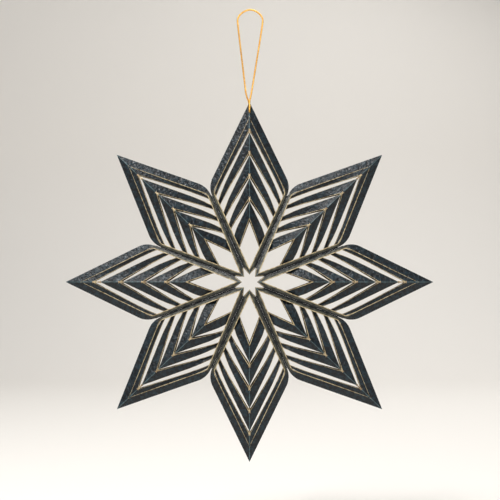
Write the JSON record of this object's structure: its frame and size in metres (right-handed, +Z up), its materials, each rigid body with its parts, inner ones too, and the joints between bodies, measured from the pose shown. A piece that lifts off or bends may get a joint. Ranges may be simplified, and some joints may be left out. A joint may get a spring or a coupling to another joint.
{
  "type": "origami star",
  "caption": "Flat hanging paper star with pointed folded petals cut into V strips, and a looped cord through the top tip.",
  "frame": {"origin": "middle of the star, halfway through its depth", "axes": "+Z up towards the tip with the hang hole, front faces -Y, +X to the right seen from the front"},
  "size_m": [0.2436, 0.0298, 0.3003],
  "materials": {
    "blue_paper": "satin",
    "gold_cord": "metallic thread"
  },
  "bodies": {
    "root": {"petal_top": "blue_paper", "petal_upper_right": "blue_paper", "petal_right": "blue_paper", "petal_lower_right": "blue_paper", "petal_bottom": "blue_paper", "petal_lower_left": "blue_paper", "petal_left": "blue_paper", "petal_upper_left": "blue_paper", "hanging_cord": "gold_cord"}
  },
  "joints": []
}
